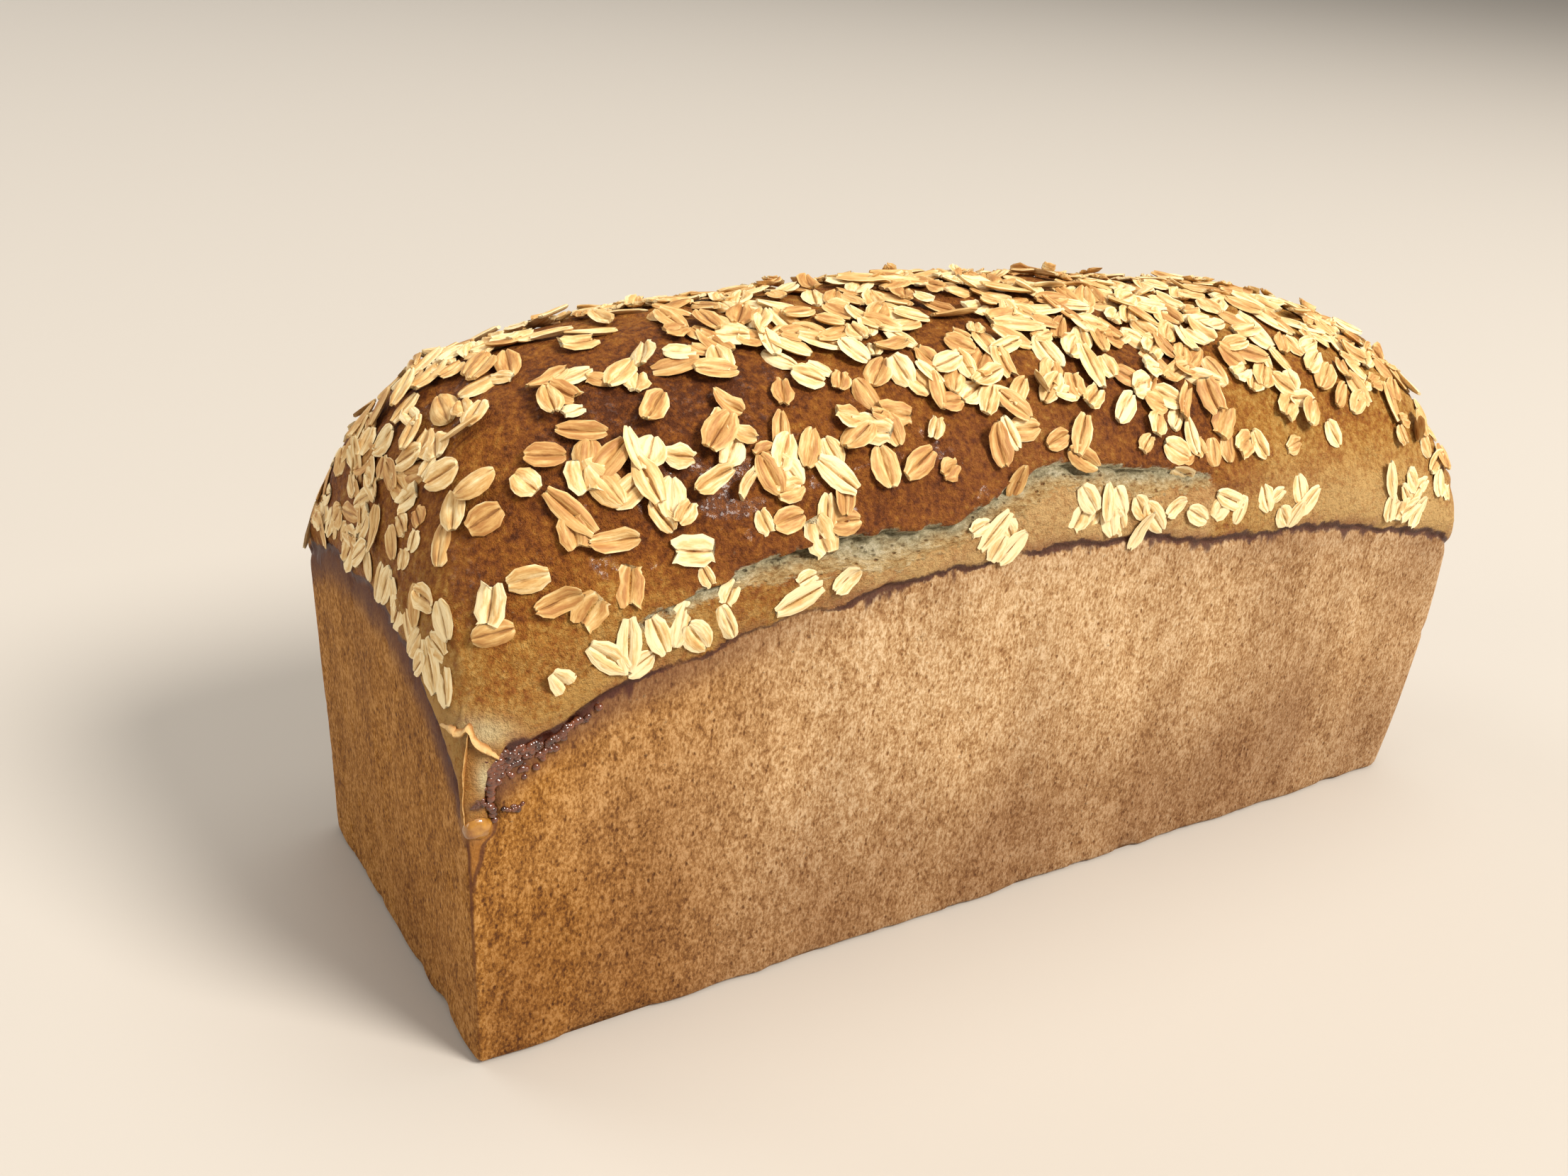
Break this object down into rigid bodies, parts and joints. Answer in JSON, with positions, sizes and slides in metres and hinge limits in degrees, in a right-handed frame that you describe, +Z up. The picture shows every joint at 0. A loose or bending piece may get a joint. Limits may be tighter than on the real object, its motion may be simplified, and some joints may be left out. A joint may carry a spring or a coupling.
{
  "type": "tin loaf",
  "caption": "Whole tin-baked bread loaf, box-shaped below, with a high domed crown that has split along one side and is scattered with oat flakes.",
  "frame": {"origin": "on the surface that the loaf stands on, under the middle of its bounding box", "axes": "+Z up, +X along the length towards the end with the softer corners, -Y towards the long side whose crust has split"},
  "size_m": [0.3, 0.1034, 0.144],
  "materials": {
    "crust": "baked crust: matte tan walls and base, glossy chestnut brown crown"
  },
  "bodies": {
    "root": {"loaf": "crust"}
  },
  "joints": []
}
